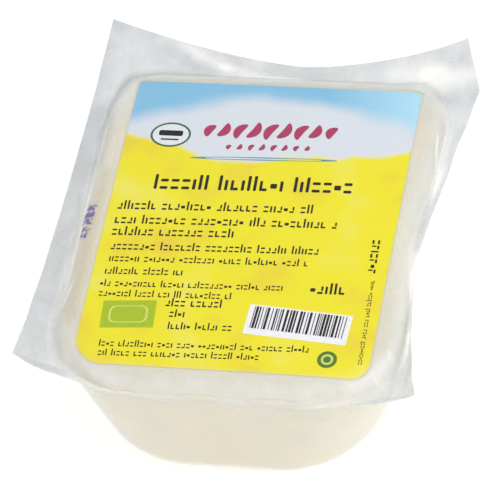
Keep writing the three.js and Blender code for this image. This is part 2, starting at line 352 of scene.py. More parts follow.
# Corner radius, step and corner count of the outlines of fields, bars, ovals and beans.
FIELD_CORNER = 0.2
STRIPE_CORNER = 0.02
FIELD_STEP = 1.2
OVAL_CORNERS = 48
BEAN_CORNERS = 28
STRIPE_PANEL = {"x": 17.2, "y": -28.7, "width": 25.6, "height": 8.6, "tilt": math.radians(-3.8)}
STRIPE_COUNT = 31
STRIPE_WIDTHS = (0.26, 0.26, 0.5, 0.75)
STRIPE_MARGIN = 1.3
STRIPE_RISE = 0.7
STRIPE_HEIGHT = 6.4
GREEN_FIELD = {"x": -25.0, "y": -28.4, "width": 13.3, "height": 8.0, "tilt": math.radians(3.6)}
GREEN_FRAME = {"width": 9.7, "height": 5.0, "corner": 1.6, "inner_share": 0.9, "step": 0.8}
GREEN_DISC = {"x": 26.0, "y": -38.2, "radius": 2.4}
DISC_RING_SHARES = (0.62, 0.4)
BADGE = {"x": -25.1, "y": 26.8, "half_width": 5.2, "half_height": 3.9, "ring": 0.55}
# The badge's bars: width, height, corner radius and rise.
BADGE_BARS = ((6.2, 1.7, 0.5, 0.5), (4.6, 0.45, 0.1, -1.5))
BADGE_BAR_STEP = 1.0
BEAN_ROW = {"left": -15.4, "right": 15.6, "y": 29.2, "count": 9, "length": 5.6, "width": 2.3}
SMALL_BEAN_ROW = {"left": -9.6, "right": 10.4, "y": 24.0, "count": 8, "length": 2.2, "width": 1.2}
# The beans' slant, how far a bean's middle bends out and its ends lie back, in bean lengths, and the
# share of its length that a bean at a row's end has.
BEAN_SLANT = math.radians(-28)
BEAN_BEND = 0.16
BEAN_BACK = 0.1
END_BEAN_SHARE = 0.72
BLUE_RULE = {"left": -18.6, "right": 18.4, "y": 20.4, "width": 1.0}
RULE_STEPS = 60
RULE_ENDS = (0.02, 0.98)
RULE_TAPER = 0.4
# The stamp: a row of marks, each a block of dots of which only a share is there. The last two numbers
# are how high the dots' undersides and tops lie on the film.
STAMP = {"start": (-40.7, 4.0), "end": (-41.2, -6.6), "marks": 5, "columns": 4, "rows": 6}
STAMP_DOT_PITCH = 0.45
STAMP_DOT_RADIUS = 0.21
STAMP_DOT_CORNERS = 10
STAMP_DOT_SHARE = 0.6
STAMP_LIFTS = (0.03, 0.07)

# ---- Light and camera ----

TABLE_REACH = 4.0
WORLD_COLOUR = (0.98, 0.99, 1.0, 1.0)
WORLD_STRENGTH = 0.84
# Each lamp's name, place and width in metres, and power in watts.
LAMPS = (
    ("key_softbox", (0.6, -0.15, 0.65), 0.5, 1.7),
    ("key_spot", (0.62, -0.2, 0.68), 0.1, 1.05),
)
LAMP_AIM = (0.0, 0.0, 0.03)
# The camera's angles, and its distance and target in millimetres.
CAMERA_AZIMUTH = math.radians(22.0)
CAMERA_ELEVATION = math.radians(52.2)
CAMERA_ROLL = math.radians(-14.65)
CAMERA_DISTANCE = 946.3
CAMERA_TARGET = (1.47, -6.96, 44.0)
CAMERA_CLIP_START = 0.01
SENSOR_WIDTH = 36.0
FOCAL_LENGTH = 279.4
# A ray passes many faces of film on its way, so these are high.
FILM_FACES_SEEN_THROUGH = 32
FILM_FACES_LIT_THROUGH = 14
LIGHT_BOUNCES = 24

# Sockets of Blender's Mix node when it mixes colours.
SHARE, COLOUR_A, COLOUR_B, MIXED = 0, 6, 7, 2


def srgb(hex_colour):
    """A hex colour as linear red, green and blue."""
    channels = [int(hex_colour[i : i + 2], 16) / 255 for i in (1, 3, 5)]
    return tuple(c / 12.92 if c <= 0.04045 else ((c + 0.055) / 1.055) ** 2.4 for c in channels)


# ---- Settings that a user may change ----


def length_setting(name, description, default):
    return FloatProperty(
        name=name, description=description, default=default * MM, min=0.0, precision=5, unit="LENGTH"
    )


def colour_setting(name, description, default):
    return FloatVectorProperty(
        name=name, description=description, default=srgb(default), size=3, subtype="COLOR", min=0, max=1
    )


class TofuPackSizes(bpy.types.PropertyGroup):
    """Thicknesses and gaps of the pack's layers."""

    film: length_setting("Film", "Thickness of each clear web", 0.12)
    paper: length_setting("Paper", "Thickness of the paper label", 0.06)
    ink: length_setting("Ink", "Thickness of the printed marks", 0.015)
    wall_gap: length_setting("Wall Gap", "Depth of the curd below the film's face at the wall", 0.35)
    top_gap: length_setting("Top Gap", "Depth of the curd below the film's face on top", 0.23)


class TofuPackColours(bpy.types.PropertyGroup):
    """Colours of curd, film, print and floor."""

    curd: colour_setting("Curd", "Fresh pressed curd", "#E4DDC9")
    film_milk: colour_setting("Milky Film", "Film with whey behind it", "#F9F9F6")
    # The free film's grey is partly the film's own cool tint and partly painted shade.
    film_grey_and_painted_shade: colour_setting("Free Film", "Film that stands free of the block", "#B7BDC3")
    film_whey: colour_setting("Whey Film", "Film with a little whey shut in", "#E0D7BB")
    sky: colour_setting("Far Band", "Printed band along the label's far edge", "#86C0E0")
    sky_right: colour_setting("Far Band, Right", "The band's right end", "#B7E4F6")
    haze: colour_setting("Pale Field", "Printed field below the band", "#DBE0E7")
    field: colour_setting("Yellow Field", "Printed field over most of the label", "#F0E424")
    field_warm: colour_setting("Warm Mottling", "Warmer clouds in the yellow field", "#E8C93F")
    field_light: colour_setting("Light Mottling", "Paler clouds in the yellow field", "#F0E86C")
    ink: colour_setting("Dark Ink", "Rows and stripes", "#171106")
    ornament: colour_setting("Ornament", "Row of beans", "#B23A64")
    rule: colour_setting("Rule", "Rule below the beans", "#4E93B4")
    badge: colour_setting("Badge", "Badge ring", "#47664E")
    badge_field: colour_setting("Badge Field", "Inside of the badge", "#E6EDEE")
    green: colour_setting("Green", "Green field", "#AEC61E")
    leaf: colour_setting("Leaf Green", "Green disc", "#557F22")
    green_light: colour_setting("Light Green", "Marks on the green", "#DCE67A")
    panel: colour_setting("Panel", "White ground of the stripes", "#F6F6FA")
    stamp: colour_setting("Stamp", "Stamp ink on the film", "#7365B5")
    floor: colour_setting("Floor", "Studio floor", "#CDCDCD")


# ---- The block's form ----


def smooth_step(low, high, value):
    """0 below low, 1 above high, and a soft ramp between them."""
    share = np.clip((value - low) / (high - low), 0.0, 1.0)
    return share * share * (3.0 - 2.0 * share)


def rounded_rectangle(turn, half_x, half_y, far_corner, near_corner):
    """Points of a rounded rectangle. Turn 0 is the middle of the right side, 0.25 of the far side."""
    quarter = np.floor(turn * 4)
    along = turn * 4 - quarter
    g = np.where(quarter % 2 == 0, along, 1 - along)
    corner = np.where(quarter >= 2, near_corner, far_corner)
    arc = np.clip((g - STRAIGHT_SHARE) / (1 - 2 * STRAIGHT_SHARE), 0, 1) * (math.pi / 2)
    x = half_x - corner + corner * np.cos(arc)
    y = half_y - corner + corner * np.sin(arc)
    x = np.where(g > 1 - STRAIGHT_SHARE, (half_x - corner) * (1 - g) / STRAIGHT_SHARE, x)
    y = np.where(g < STRAIGHT_SHARE, (half_y - corner) * g / STRAIGHT_SHARE, y)
    sign_x = np.where((quarter == 1) | (quarter == 2), -1, 1)
    sign_y = np.where(quarter >= 2, -1, 1)
    return x * sign_x, y * sign_y


def waist(x, y):
    """How far the right wall is drawn in at a place along it."""
    share = smooth_step(0.0, SHOULDER_HALF_WIDTH, x)
    return WAIST_DEPTH * share * np.exp(-(((y - WAIST_PLACE_Y) / WAIST_SPREAD) ** 2))


def block_outline(turn, inset, down):
    """The block's outline, inset from its wall, at a share of the way down from shoulder to base."""
    x, y = rounded_rectangle(
        turn,
        SHOULDER_HALF_WIDTH - BASE_DRAW_IN_X * down - inset,
        SHOULDER_HALF_LENGTH - BASE_DRAW_IN_Y * down - inset,
        SHOULDER_FAR_CORNER + (BASE_CORNER - SHOULDER_FAR_CORNER) * down - inset,
        SHOULDER_NEAR_CORNER + (BASE_CORNER - SHOULDER_NEAR_CORNER) * down - inset,
    )
    return x + BASE_SHIFT_X * down - waist(x, y), y + BASE_SHIFT_Y * down


def distance_to_shoulder(x, y):
    """Distance from a place on the top outwards to the shoulder's outline, negative outside it."""
    corner = np.where(y < 0, SHOULDER_NEAR_CORNER, SHOULDER_FAR_CORNER)
    out_x = np.abs(x + waist(x, y)) - (SHOULDER_HALF_WIDTH - corner)
    out_y = np.abs(y) - (SHOULDER_HALF_LENGTH - corner)
    outside = np.hypot(np.maximum(out_x, 0), np.maximum(out_y, 0))
    return corner - outside - np.minimum(np.maximum(out_x, out_y), 0)


def top_height(x, y):
    """Height of the block's top: a slight dome that rolls off to the shoulder at its edge."""
    inside = np.clip(distance_to_shoulder(x, y) / TOP_EDGE_ROUNDING, 0, 1)
    roll = np.sqrt(1 - (1 - inside) ** 2)
    fall = ((x / SHOULDER_HALF_WIDTH) ** 2 + (y / SHOULDER_HALF_LENGTH) ** 2) / 2
    return SHOULDER_HEIGHT + (BLOCK_HEIGHT - SHOULDER_HEIGHT - TOP_DOME * fall) * roll


def beyond_label(x, y):
    """How far a place on the top lies beyond the label's outline, negative on the label."""
    far_right, far_left, near_left, near_right = LABEL_CORNERS
    y = y - LABEL_MIDDLE_Y
    far, near = np.where(x < 0, far_left, far_right), np.where(x < 0, near_left, near_right)
    radius = np.where(y < 0, near, far)
    out_x = np.abs(x) - LABEL_WIDTH / 2 + radius
    out_y = np.abs(y) - LABEL_LENGTH / 2 + radius
    outside = np.hypot(np.maximum(out_x, 0), np.maximum(out_y, 0))
    return outside + np.minimum(np.maximum(out_x, out_y), 0) - radius


def clearance(points):
    """How far a point of the film stands off the block."""
    x, y, z = points[..., 0], points[..., 1], points[..., 2]
    return np.maximum(-distance_to_shoulder(x, y), z - top_height(x, y))


# ---- The rim's form ----


def rim_edge(turn):
    """Points of the sheet's cut edge."""
    starts = np.array([post[0] for post in RIM_POSTS])
    places = np.array([post[1] for post in RIM_POSTS])
    index = (np.searchsorted(starts, turn, side="right") - 1) % len(RIM_POSTS)
    following = (index + 1) % len(RIM_POSTS)
    span = (starts[following] - starts[index]) % 1
    share = (((turn - starts[index]) % 1) / span)[..., None]
    bow, sag, lean, flat = np.moveaxis(np.array(RIM_EDGES)[index], -1, 0)[..., None]
    start, end = places[index], places[following]
    outward = unit(np.stack([end[..., 1] - start[..., 1], start[..., 0] - end[..., 0]], -1))
    depth = 1 - np.abs(2 * share**lean - 1) ** flat
    point = start + (end - start) * share
    point[..., :2] += outward * bow * depth
    point[..., 2:] -= sag * depth
    return point


def rim_point(turn, across):
    """Points of the rim's middle surface, from its root at the wall (0) to its cut edge (1)."""
    x, y = block_outline(turn, 0.0, 0.0)
    root = np.stack([x, y, np.full_like(x, SHOULDER_HEIGHT)], -1)
    edge = rim_edge(turn)
    bend = root + (edge - root) * RIM_BEND_PLACE
    bend[..., 2] = SHOULDER_HEIGHT
    a = across[..., None]
    return clear_of_wall(turn, root * (1 - a) ** 2 + bend * 2 * a * (1 - a) + edge * a**2)


def clear_of_wall(turn, point):
    """Moves points that would sink into the block's wall out to lie along it."""
    down = np.clip(1 - point[..., 2] / SHOULDER_HEIGHT, 0, 1)
    wall = np.stack(block_outline(turn, 0.0, down), -1)
    ahead = np.stack(block_outline((turn + SLOPE_STEP) % 1, 0.0, down), -1)
    behind = np.stack(block_outline((turn - SLOPE_STEP) % 1, 0.0, down), -1)
    along = ahead - behind
    normal = unit(np.stack([along[..., 1], -along[..., 0]], -1))
    short = RIM_OFF_WALL - ((point[..., :2] - wall) * normal).sum(-1)
    push = RIM_OFF_WALL_SOFTNESS * np.logaddexp(0, short / RIM_OFF_WALL_SOFTNESS)
    moved = point.copy()
    moved[..., :2] += normal * push[..., None]
    return moved


# ---- Skins ----


def skin(rings, ends_meet):
    """Points and faces of a closed skin over rings of equal length, an array of ring, turn, place.

    The ends are either joined to each other or each closed by a fan to its middle.
    """
    count, size = rings.shape[:2]
    points = rings.reshape(-1, 3)
    turn = np.arange(size)[None, :]
    ring = np.arange(count if ends_meet else count - 1)[:, None]
    here = ring * size
    ahead = ((ring + 1) % count) * size
    beside = (turn + 1) % size
    quads = np.stack([here + turn, here + beside, ahead + beside, ahead + turn], -1)
    faces = [tuple(quad) for quad in quads.reshape(-1, 4).tolist()]
    if not ends_meet:
        last = (count - 1) * size
        first_middle = len(points)
        last_middle = len(points) + 1
        points = np.concatenate([points, rings[:1].mean(1), rings[-1:].mean(1)])
        for n in range(size):
            m = (n + 1) % size
            faces.append((first_middle, m, n))
            faces.append((last_middle, last + n, last + m))
    return points, faces


def unit(vectors):
    """Vectors at length 1. One of no length stays as it is."""
    return vectors / np.maximum(np.linalg.norm(vectors, axis=-1, keepdims=True), NO_LENGTH)


def grid_normals(rings):
    """Unit normals of a grid of ring, turn, place, closed in turn, on the side that looks up or out."""
    along = np.roll(rings, -1, 1) - np.roll(rings, 1, 1)
    across = np.gradient(rings, axis=0)
    return unit(np.cross(along, across))


def join(parts):
    """Several pairs of points and faces as one pair."""
    points, faces, start = [], [], 0
    for part_points, part_faces in parts:
        points.append(part_points)
        faces.extend(tuple(start + corner for corner in face) for face in part_faces)
        start += len(part_points)
    return np.concatenate(points), faces


def soft_waves(points, waves):
    """A smooth uneven relief. Each wave is a sum of plane waves in seeded directions."""
    total = 0.0
    for height, length, seed in waves:
        draw = np.random.default_rng(seed)
        directions = unit(draw.normal(size=(PLANE_WAVES, 3)))
        lengths = length * draw.uniform(*PLANE_WAVE_LENGTHS, PLANE_WAVES)
        phases = draw.uniform(0, 2 * math.pi, PLANE_WAVES)
        angle = points @ directions.T * (2 * math.pi / lengths) + phases
        total = total + height * np.tanh(np.sin(angle).sum(-1) / math.sqrt(PLANE_WAVES))
    return total


def hollows(points, waves):
    """How deep each point lies in a relief that only has hollows."""
    return sum(height for height, _, _ in waves) + soft_waves(points, waves)


def streak(points, start, end, half_width, amount):
    """A soft streak of an amount along a straight line in plan, round at its ends."""
    start, end = np.array(start), np.array(end)
    run = end - start
    share = np.clip(((points[..., :2] - start) @ run) / (run @ run), 0, 1)
    nearest = start + share[..., None] * run
    distance = np.linalg.norm(points[..., :2] - nearest, axis=-1)
    return amount * np.exp(-((distance / half_width) ** 2)), share


def ridge(points, start, end, half_width, height):
    """A soft ridge of a height along a straight line in plan, which runs out at its ends."""
    amount, share = streak(points, start, end, half_width, height)
    return amount * (1 - (2 * share - 1) ** 2) ** 2


def block_rings():
    """The block's outer face from the middle of its base up to its shoulder, ring by ring."""
    rings = []
    flat_x, flat_y = block_outline(TURNS, BASE_EDGE_RUN, 1.0)
    for share in np.linspace(BASE_FIRST_RING, 1, CENTRE_STEPS // 2)[:-1]:
        rings.append((flat_x * share, flat_y * share, np.zeros_like(TURNS)))
    for angle in np.linspace(0, math.pi / 2, EDGE_STEPS + 1):
        height = BASE_EDGE_RISE * (1 - math.cos(angle))
        inset = BASE_EDGE_RUN * (1 - math.sin(angle))
        x, y = block_outline(TURNS, inset, 1 - height / SHOULDER_HEIGHT)
        rings.append((x, y, np.full_like(x, height)))
    for height in np.linspace(BASE_EDGE_RISE, SHOULDER_HEIGHT, WALL_STEPS + 1)[1:]:
        x, y = block_outline(TURNS, 0.0, 1 - height / SHOULDER_HEIGHT)
        rings.append((x, y, np.full_like(x, height)))
    return np.array(rings).transpose(0, 2, 1)


def top_rings():
    """The block's top from just inside its shoulder to its middle, ring by ring."""
    rings = []
    for angle in np.linspace(0, math.pi / 2, EDGE_STEPS + 1)[1:]:
        rings.append(block_outline(TURNS, TOP_EDGE_ROUNDING * (1 - math.cos(angle)), 0.0))
    x, y = rings[-1]
    for share in np.linspace(1, TOP_LAST_RING, CENTRE_STEPS)[1:]:
        rings.append((x * share, y * share))
    flat = np.array(rings).transpose(0, 2, 1)
    height = top_height(flat[..., 0], flat[..., 1])
    return np.concatenate([flat, height[..., None]], -1)


def curd_skin(wall_gap, top_gap):
    """The tofu inside the film, with softly uneven pressed faces."""
    rings = np.concatenate([block_rings(), top_rings()])
    on_top = smooth_step(*CURD_TOP_HEIGHTS, rings[..., 2])
    inset = wall_gap + (top_gap - wall_gap) * on_top + hollows(rings, CURD_HOLLOWS) * (1 - on_top)
    return skin(rings - grid_normals(rings) * inset[..., None], False)


def pocket_skin(thickness):
    """The lower web: drawn tight round the base and wall, out along the flange, and on as the rim.

    A trace of whey clouds it on the wall, more so under the near edge.
    """
    wall = block_rings()
    slack = smooth_step(*SLACK_HEIGHTS, wall[..., 2]) * hollows(wall, POCKET_HOLLOWS)
    wall = wall - grid_normals(wall) * slack[..., None]
    height = wall[..., 2]
    milky = POCKET_MILK * (1 + soft_waves(wall, POCKET_CLOUDS))
    high = smooth_step(*NEAR_MILK_HEIGHTS, height + soft_waves(wall, NEAR_MILK_WANDER))
    milky = milky + NEAR_WALL_MILK * high * near_side(wall)
    milky, grey = hazed(wall, milky, 0 * milky, WALL_HAZE, smooth_step(*WALL_HAZE_HEIGHTS, height))
    shine = 1 - near_side(wall) * smooth_step(*DULL_HEIGHTS, height)
    middle, normal, rim_milky, rim_grey, across = (part[::-1] for part in rim_sheet())
    outer = np.concatenate([wall, middle - normal * (WEB_GAP + thickness)])
    inner = outer - grid_normals(outer) * thickness
    parted = smooth_step(*PARTED_ACROSS, across) * near_side(middle)
    milky = np.concatenate([milky, rim_milky + (ROOT_MILK - rim_milky) * parted])
    grey = np.concatenate([grey, rim_grey * (1 + (PARTED_GREY - 1) * parted)])
    shine = np.concatenate([shine, smooth_step(*SHINE_CLEARANCE, clearance(middle))])
    return skin(np.concatenate([outer, inner[::-1]]), False), both_faces(milky, grey, shine, True)


def near_side(points):
    """1 on the near side, and 0 elsewhere."""
    return smooth_step(*NEAR_SIDE_Y, points[..., 1])


def hazed(points, milky, grey, stretches, share=1.0):
    """Milky and grey numbers with a share of each stretch of haze added, in its own tint."""
    for start, end, half_width, haze, tint in stretches:
        amount = share * streak(points, start, end, half_width, haze)[0]
        grey = (grey * milky + tint * amount) / (milky + amount)
        milky = milky + amount
    return milky, grey


def in_patches(points, patches):
    """The sum of amounts that each come in over a ramp along x and one along y."""
    total = 0.0
    for amount, x_ramp, y_ramp in patches:
        total = total + amount * smooth_step(*x_ramp, points[..., 0]) * smooth_step(*y_ramp, points[..., 1])
    return total


def grey_and_painted_shade(points):
    """How grey the milky film is: not on the block, a little over its edge, and more off it.
    The grey is partly the film's own cool tint and partly painted shade, lifted by place with painted light.
    """
    inside = distance_to_shoulder(points[..., 0], points[..., 1]) + in_patches(points, SHADE_GREY_FURTHER_OUT)
    over_edge = EDGE_GREY * smooth_step(*EDGE_GREY_INSIDE, inside)
    off_block = (1 - EDGE_GREY) * smooth_step(*FULL_GREY_INSIDE, inside)
    return (over_edge + off_block) * np.clip(1 - in_patches(points, FREE_FILM_PAINTED_LIGHT), 0, 1)


def rim_sheet():
    """The sealed rim from its cut edge in to its root at the wall, ring by ring.

    Its middle surface with its creases, its normals that look up, its milky and grey numbers, and how
    far across the rim each point is. Its grey is partly the film's own cool tint and partly painted
    shade. The white at its creases and along some stretches is painted highlight, some stretches are
    painted greyer as shade, and it clears where it lies down on the near wall.
    """
    sealed = np.linspace(1, WELD_PLACE, RIM_STEPS + 1)
    parted = np.linspace(WELD_PLACE, 0, FLANGE_STEPS + 1)[1:]
    across = np.concatenate([sealed, parted])[:, None] + 0 * TURNS
    middle = rim_point(np.broadcast_to(TURNS, across.shape), across)
    normal = grid_normals(middle)
    off = clearance(middle)
    loose = smooth_step(*LOOSE_ACROSS, across) * smooth_step(*LOOSE_CLEARANCE, off)
    lift = loose * soft_waves(middle, RIM_RIPPLES)
    # White is random clouds, plus painted highlights along the creases and stretches, and painted shade where
    # a stretch is negative.
    white = soft_waves(middle, RIM_CLOUDS)
    for start, end, half_width, height, painted_glint in RIM_CREASES:
        lift = lift + ridge(middle, start, end, half_width, height) * loose
        white = white + ridge(middle, start, end, half_width, painted_glint)
    for stretch in RIM_PAINTED_LIGHT_AND_SHADE:
        white = white + streak(middle, *stretch)[0]
    laid = smooth_step(*LAID_CLEARANCE, off) * near_side(middle)
    fold = smooth_step(*FOLD_HEIGHTS, middle[..., 2]) * smooth_step(*FOLD_CLEARANCE, off)
    milky = RIM_MILK + (LAID_MILK - RIM_MILK) * laid + FOLD_MILK * fold * near_side(middle)
    grey = grey_and_painted_shade(middle) * (1 - np.clip(white, -1, 1)) * (1 - laid)
    return middle + normal * lift[..., None], normal, hem_cleared(milky, middle), grey, across


def hem_cleared(milky, points):
    """Milkiness with the hem cleared: where film lies on the near wall, its milk ends in soft lobes."""
    height = points[..., 2] + soft_waves(points, HEM_WANDER)
    laid = smooth_step(*HEM_HEIGHTS, height) * smooth_step(*HEM_CLEARANCE, clearance(points))
    return milky * (1 - laid) + HEM_MILK * laid


def both_faces(milky, grey, shine, outer_first):
    """A web's numbers for its rings of both faces, in its skin's order. Its inner face is wet and dull."""
    numbers = {"milky": (milky, milky), "grey": (grey, grey), "shine": (shine, 0 * shine)}
    for name, (outer, inner) in numbers.items():
        numbers[name] = np.concatenate([outer, inner[::-1]] if outer_first else [inner[::-1], outer])
    return numbers


def bridge_rings(weld_lift):
    """The upper web's free stretch, from just inside its weld on the rim to the block's top."""
    places = WELD_PLACE + RIM_SLOPE_STEP * np.array([1, 0, -1])[:, None] * np.ones_like(TURNS)
    strip = rim_point(np.broadcast_to(TURNS, places.shape), places)
    normal = grid_normals(strip)[1]
    inward = unit(strip[2] - strip[0])
    weld = strip[1]
    rest_x, rest_y = block_outline(TURNS, TOP_EDGE_ROUNDING, 0.0)
    rest = np.stack([rest_x, rest_y, top_height(rest_x, rest_y)], -1)
    out_x, out_y = block_outline(TURNS, 0.0, 0.0)
    outward = unit(np.stack([out_x - rest_x, out_y - rest_y, np.zeros_like(out_x)], -1))
    root = rim_point(TURNS, np.zeros_like(TURNS))
    room = np.linalg.norm(weld - root, axis=-1, keepdims=True)
    near_weld = weld + inward * np.minimum(BRIDGE_REACH_AT_WELD, BRIDGE_SHARE_OF_ROOM * room)
    near_rest = rest + outward * BRIDGE_REACH_AT_TOP
    t = bridge_shares()[1:, None, None]
    bridge = weld * (1 - t) ** 3 + near_weld * 3 * t * (1 - t) ** 2
    bridge = bridge + near_rest * 3 * t * t * (1 - t) + rest * t**3
    rise = weld_lift + (BRIDGE_LIFT - weld_lift) * smooth_step(*BRIDGE_RISING, t)
    bridge = bridge + normal * rise * smooth_step(*BRIDGE_SETTLING, t)
    x, y = bridge[..., 0], bridge[..., 1]
    block = top_height(x, y) - BRIDGE_WALL_SLOPE * np.maximum(-distance_to_shoulder(x, y), 0)
    over = (bridge[..., 2] - block) / BRIDGE_SOFTNESS
    bridge[..., 2] += BRIDGE_SOFTNESS * np.logaddexp(0, -over) * smooth_step(*BRIDGE_CLEARING, t)[..., 0]
    return bridge


def bridge_shares():
    """Steps of the upper web's free stretch, from its weld (0) to the block's top (1)."""
    return np.linspace(0, 1, BRIDGE_STEPS + 1)


def lid_skin(thickness):
    """The upper web: the rim's upper side, and from the weld over the label and the block's top edge.

    It is quite clear over the label, milky over the bare strip beside it and more so over the block's
    rounded edge, and as milky as the rim from there to the weld. Some of its haze is white laid over
    hollows where shade falls, as painted light, and the white milk on its creases is a painted glint.
    """
    weld_lift = WEB_GAP + thickness
    middle, rim_normal, rim_milky, rim_grey, _ = (part[: RIM_STEPS + 1] for part in rim_sheet())
    rim_top = middle + rim_normal * weld_lift
    outer = np.concatenate([rim_top, bridge_rings(weld_lift), top_rings()[EDGE_STEPS:]])
    normal = grid_normals(outer)
    top_count = len(outer) - RIM_STEPS - BRIDGE_STEPS - 1
    shares = np.concatenate([np.zeros(RIM_STEPS), bridge_shares(), np.ones(top_count)])
    own = smooth_step(*LID_OWN_SHARES, shares)[:, None]
    lift = own * smooth_step(*LID_CLEARANCE, clearance(outer)) * soft_waves(outer, LID_RIPPLES)
    x, y = outer[..., 0], outer[..., 1]
    beside = smooth_step(*BEYOND_LABEL, beyond_label(x, y))
    edge = smooth_step(*EDGE_MILK_INSIDE, distance_to_shoulder(x, y))
    far = smooth_step(*FAR_STRIP_Y, y + soft_waves(outer, FAR_STRIP_WANDER))
    strip = STRIP_MILK + (EDGE_MILK - STRIP_MILK) * edge
    strip = strip + NEAR_STRIP_MILK * smooth_step(*NEAR_STRIP_Y, y) + FAR_STRIP_MILK * far
    milky = LABEL_MILK + (strip - LABEL_MILK) * beside
    # Grey, partly painted shade: less where the webs part on the near side, and at least the far strip's grey
    # beside the label.
    grey = grey_and_painted_shade(outer) * (1 + (PARTED_GREY - 1) * near_side(outer))
    grey = np.maximum(grey, FAR_STRIP_GREY * far * beside)
    haze_share = HAZE_ON_LABEL + (1 - HAZE_ON_LABEL) * beside
    # Haze stretches: the film's own haze, and white laid over shaded hollows as painted light.
    milky, grey = hazed(outer, milky, grey, LID_HAZE_AND_PAINTED_LIGHT, haze_share)
    milky = hem_cleared(milky, outer)
    for start, end, half_width, height, painted_glint in LID_CREASES:
        lift = lift + ridge(outer, start, end, half_width, height)
        # White milk along the crease is a painted glint, and it also takes out grey.
        white = ridge(outer, start, end, CREASE_GLINT_WIDTH * half_width, painted_glint)
        milky = milky + white
        grey = grey * (1 - np.clip(CREASE_GLINT_GREY_LOSS * white, 0, 1))
    rim_rings = np.minimum(np.arange(len(outer)), RIM_STEPS)
    milky = rim_milky[rim_rings] * (1 - own) + milky * own
    grey = rim_grey[rim_rings] * (1 - own) + grey * own
    outer = outer + normal * lift[..., None]
    inner = outer - normal * thickness
    shine = np.ones_like(milky)
    return skin(np.concatenate([inner[::-1], outer]), False), both_faces(milky, grey, shine, False)


# ---- Sheets laid on the block's top ----


def turned(outline, x, y, tilt):
    """An outline turned by tilt and moved to x, y."""
    cos, sin = math.cos(tilt), math.sin(tilt)
    return outline @ np.array([[cos, sin], [-sin, cos]]) + (x, y)


def box_outline(width, height, radii, step):
    """A rectangle round the origin with a radius at each corner, anticlockwise from the far right."""
    arcs = []
    for index, (sign_x, sign_y) in enumerate(((1, 1), (-1, 1), (-1, -1), (1, -1))):
        radius = radii[index]
        count = max(3, math.ceil(radius * math.pi / 2 / step))
        angle = (index + np.linspace(0, 1, count + 1)) * math.pi / 2
        middle = (sign_x * (width / 2 - radius), sign_y * (height / 2 - radius))
        arcs.append(middle + radius * np.stack([np.cos(angle), np.sin(angle)], -1))
    outline = []
    for arc, following in zip(arcs, arcs[1:] + arcs[:1]):
        run = following[0] - arc[-1]
        count = max(1, math.ceil(np.linalg.norm(run) / step))
        outline.append(arc)
        outline.append(arc[-1] + run * (np.arange(1, count) / count)[:, None])
    return np.concatenate(outline)


def oval_outline(half_width, half_height, count=OVAL_CORNERS):
    """An oval round the origin."""
    angle = np.arange(count) / count * 2 * math.pi
    return np.stack([half_width * np.cos(angle), half_height * np.sin(angle)], -1)


def bean_outline(length, width):
    """A bean on end: an oval whose middle bends to one side."""
    outline = oval_outline(width / 2, length / 2, BEAN_CORNERS)
    bend = BEAN_BEND * length * (1 - (outline[:, 1] / (length / 2)) ** 2)
    outline[:, 0] += bend - BEAN_BACK * length
    return outline


def on_top(flat, depth):
    """Plan points laid at a depth below the block's top."""
    height = top_height(flat[..., 0], flat[..., 1]) - depth
    return np.concatenate([flat, height[..., None]], -1)


def laid_sheet(outline, over, under, rings=1):
    """A thin closed sheet that follows the block's top, between two depths below it."""
    middle = outline.mean(0)
    shares = (np.arange(rings) + 1)[:, None, None] / rings
    flat = middle + (outline - middle) * shares
    return skin(np.concatenate([on_top(flat, under), on_top(flat, over)[::-1]]), False)


def laid_ring(outer, inner, over, under):
    """A thin closed ring that follows the block's top, between two outlines of equal length."""
    loops = [on_top(inner, under), on_top(outer, under), on_top(outer, over), on_top(inner, over)]
    return skin(np.array(loops), True)


def letter_row(left, right, y, size, draw):
    """Outlines of one row of letter-sized blocks in words, on a level line."""
    outlines = []
    x = left
    while x < right - size:
        for _ in range(draw.integers(*WORD_LETTERS)):
            advance, bars = LETTER_BLOCKS[draw.integers(len(LETTER_BLOCKS))]
            if x + advance * size > right:
                break
            for width, height, place, rise in bars:
                bar = box_outline(width * size, height * size, [LETTER_CORNER * size] * 4, size)
                outlines.append(bar + (x + (advance / 2 + place) * size, y + rise * size))
            x += (advance + LETTER_GAP) * size
        x += WORD_GAP * size
    return outlines


# ---- Pieces ----


def add_piece(name, shape, material, replaces=(), numbers=None):
    """Makes a closed mesh piece of the pack from points and faces in millimetres."""
    points, faces = shape
    place = np.array([PLACE_X, PLACE_Y, 0.0])
    mesh = bpy.data.meshes.new(name)
    mesh.from_pydata(((points + place) * MM).tolist(), [], faces)
    mesh.shade_smooth()
    mesh.set_sharp_from_angle(angle=SHARP_ANGLE)
    for attribute, values in (numbers or {}).items():
        each = np.zeros(len(points))
        each[: values.shape[0] * len(TURNS)] = np.broadcast_to(values, (len(values), len(TURNS))).ravel()
        mesh.attributes.new(attribute, "FLOAT", "POINT").data.foreach_set("value", each)
    mesh.materials.append(material)
    made = bpy.data.objects.new(name, mesh)
    bpy.context.scene.collection.objects.link(made)
    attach(made, BODY)
    if replaces:
        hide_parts(*replaces)


def add_mark(name, shape, ink, colour):
    """Makes a printed piece in an offset ink of its own."""
    add_piece(name, shape, offset_ink(ink, colour))


def on_piece(piece, flat):
    """Plan points laid on a piece's uppermost face."""
    heights = []
    for x, y in ((flat + (PLACE_X, PLACE_Y)) * MM).tolist():
        found, place, _, _ = piece.ray_cast((x, y, 1.0), (0.0, 0.0, -1.0))
        if not found:
            raise RuntimeError("a mark lies beside " + piece.name)
        heights.append(place.z / MM)
    return np.concatenate([flat, np.array(heights)[:, None]], -1)


# ---- Materials ----


def new_material(name):
    """A material with an empty tree, and the tree."""
    material = bpy.data.materials.new(name)
    material.use_nodes = True
    material.node_tree.nodes.clear()
    return material, material.node_tree


